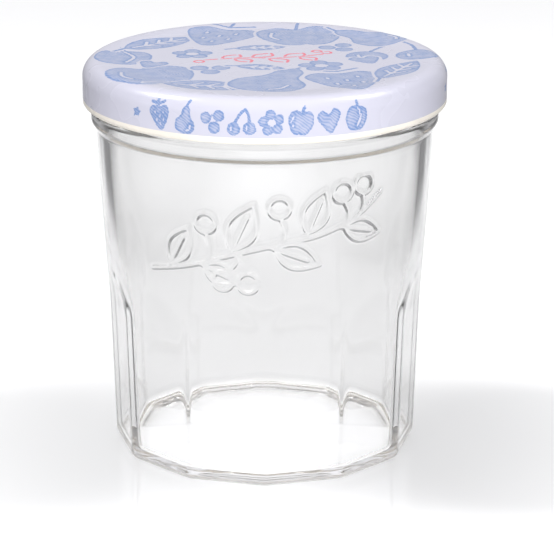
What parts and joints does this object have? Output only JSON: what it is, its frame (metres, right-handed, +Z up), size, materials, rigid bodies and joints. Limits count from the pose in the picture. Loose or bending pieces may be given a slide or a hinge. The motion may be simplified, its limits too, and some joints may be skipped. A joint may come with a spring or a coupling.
{
  "type": "jam jar",
  "caption": "Clear glass jam jar with flat panels round its foot, a raised fruit sprig on the front and a twist-off tin lid with pencil-drawn berry and leaf motifs.",
  "frame": {"origin": "centre of the base, on the plane the jar stands on", "axes": "+Z up along the jar's axis, -Y towards the raised sprig, +X to its right"},
  "size_m": [0.0848, 0.0848, 0.0932],
  "materials": {
    "clear_glass": "clear, smooth pressed glass",
    "lid_enamel": "glossy white enamel with a lavender cast and blue and coral pencil-style print",
    "sealing_compound": "satin cream sealing compound"
  },
  "bodies": {
    "root": {"jar": "clear_glass", "lid": "lid_enamel", "lid_liner": "sealing_compound"}
  },
  "joints": []
}
